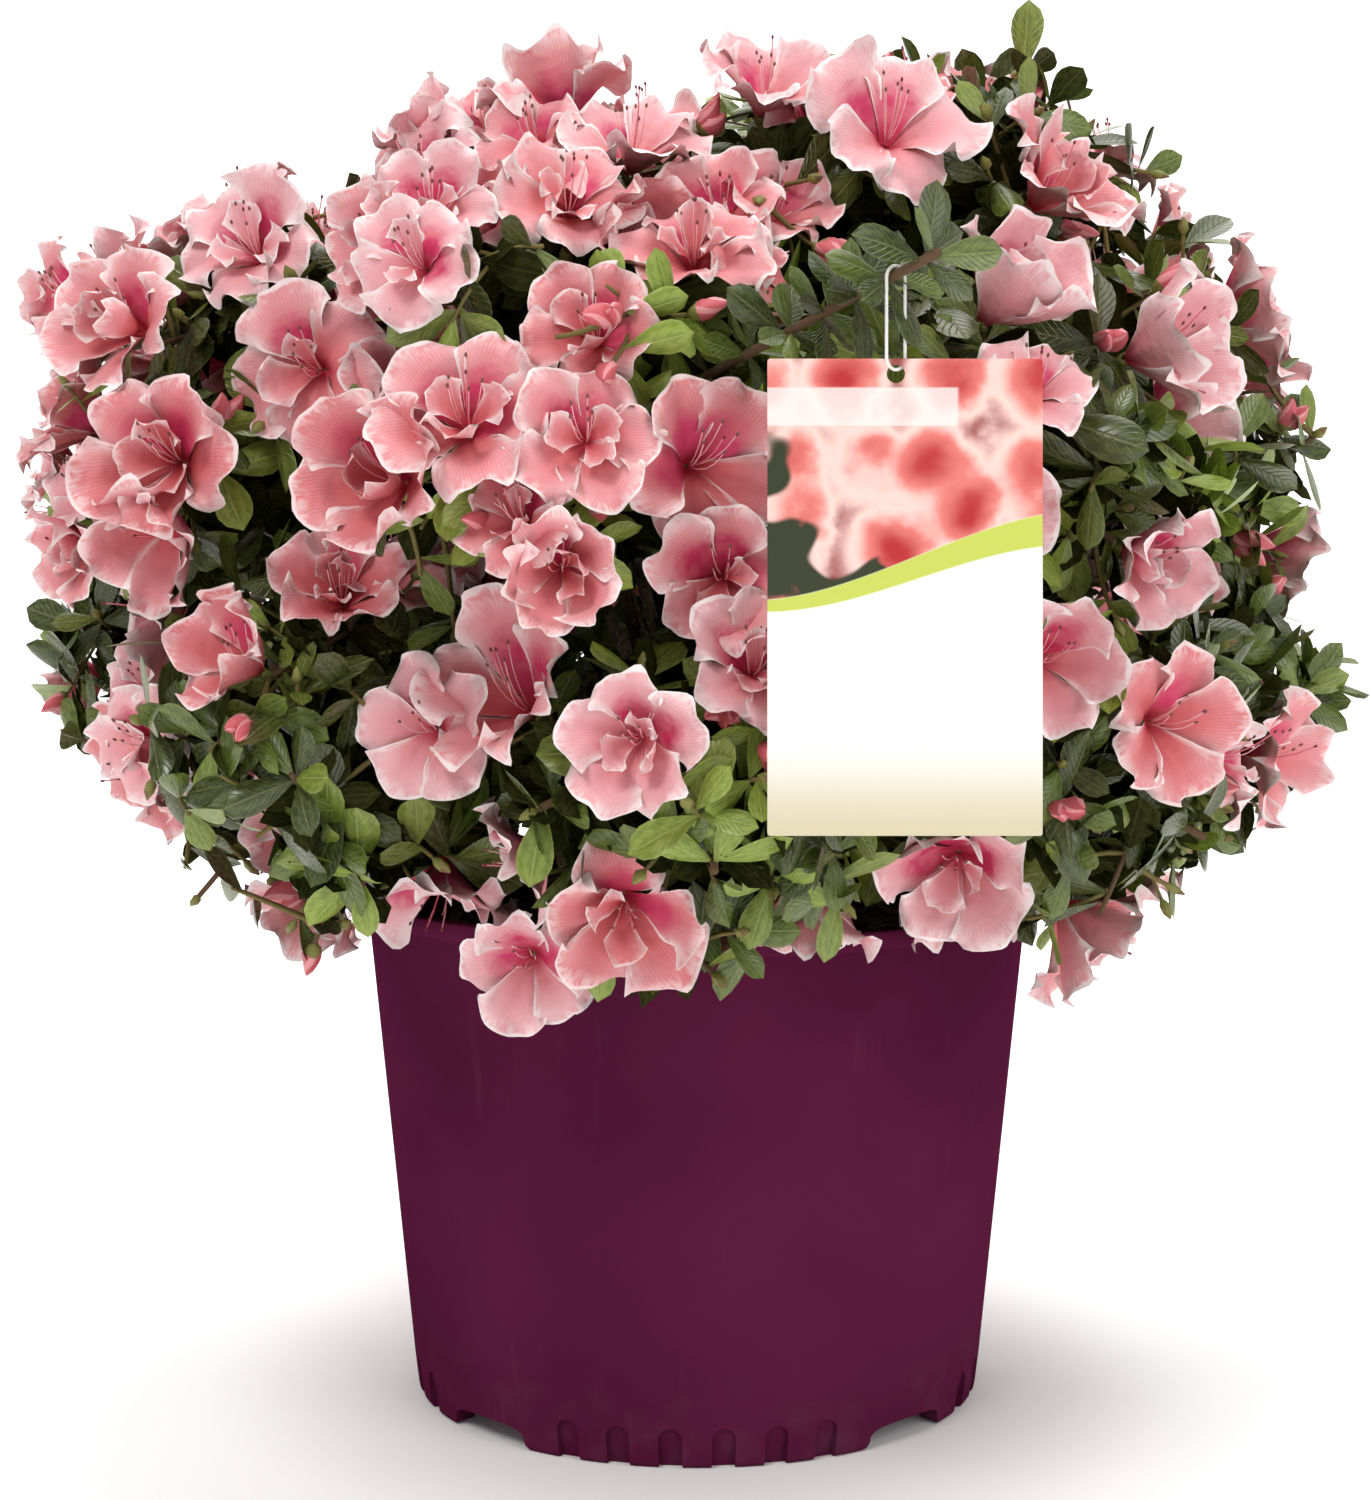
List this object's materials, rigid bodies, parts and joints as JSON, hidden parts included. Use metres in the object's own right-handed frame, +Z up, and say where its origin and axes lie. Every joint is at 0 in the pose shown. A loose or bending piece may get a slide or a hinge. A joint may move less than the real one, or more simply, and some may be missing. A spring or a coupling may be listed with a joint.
{
  "type": "potted azalea shrub",
  "caption": "Dense dome-shaped evergreen azalea shrub in full bloom on a short woody stem, standing in a tapered round nursery pot, with a card tag on a loop.",
  "frame": {"origin": "middle of the pot's flat underside, level with the floor that it stands on", "axes": "+Z up the pot's axis, -Y out of the front where the tag hangs, +X to the right as seen from the front"},
  "size_m": [0.6007, 0.5685, 0.5837],
  "materials": {
    "pot_plastic": "satin plum plastic, moulded",
    "potting_mix": "moist bark chips and fibre",
    "bark": "grey-brown bark, finely cracked lengthways",
    "foliage": "glossy dark leaves, coral-pink petals with pale edges",
    "tag_card": "printed plastic card, satin",
    "loop_plastic": "white, smooth"
  },
  "bodies": {
    "root": {"nursery_pot": "pot_plastic", "potting_mix": "potting_mix", "main_stem": "bark", "hang_tag": "tag_card", "tag_loop": "loop_plastic", "bough_skirt_1": "bark", "foliage_skirt_1": "foliage", "bough_skirt_2": "bark", "foliage_skirt_2": "foliage", "bough_skirt_3": "bark", "foliage_skirt_3": "foliage", "bough_skirt_4": "bark", "foliage_skirt_4": "foliage", "bough_skirt_5": "bark", "foliage_skirt_5": "foliage", "bough_skirt_6": "bark", "foliage_skirt_6": "foliage", "bough_skirt_7": "bark", "foliage_skirt_7": "foliage", "bough_skirt_8": "bark", "foliage_skirt_8": "foliage", "bough_shoulder_1": "bark", "foliage_shoulder_1": "foliage", "bough_shoulder_2": "bark", "foliage_shoulder_2": "foliage", "bough_shoulder_3": "bark", "foliage_shoulder_3": "foliage", "bough_shoulder_4": "bark", "foliage_shoulder_4": "foliage", "bough_shoulder_5": "bark", "foliage_shoulder_5": "foliage", "bough_shoulder_6": "bark", "foliage_shoulder_6": "foliage", "bough_shoulder_7": "bark", "foliage_shoulder_7": "foliage", "bough_crown_1": "bark", "foliage_crown_1": "foliage", "bough_crown_2": "bark", "foliage_crown_2": "foliage", "bough_crown_3": "bark", "foliage_crown_3": "foliage", "bough_crown_4": "bark", "foliage_crown_4": "foliage", "bough_crown_5": "bark", "foliage_crown_5": "foliage"}
  },
  "joints": []
}
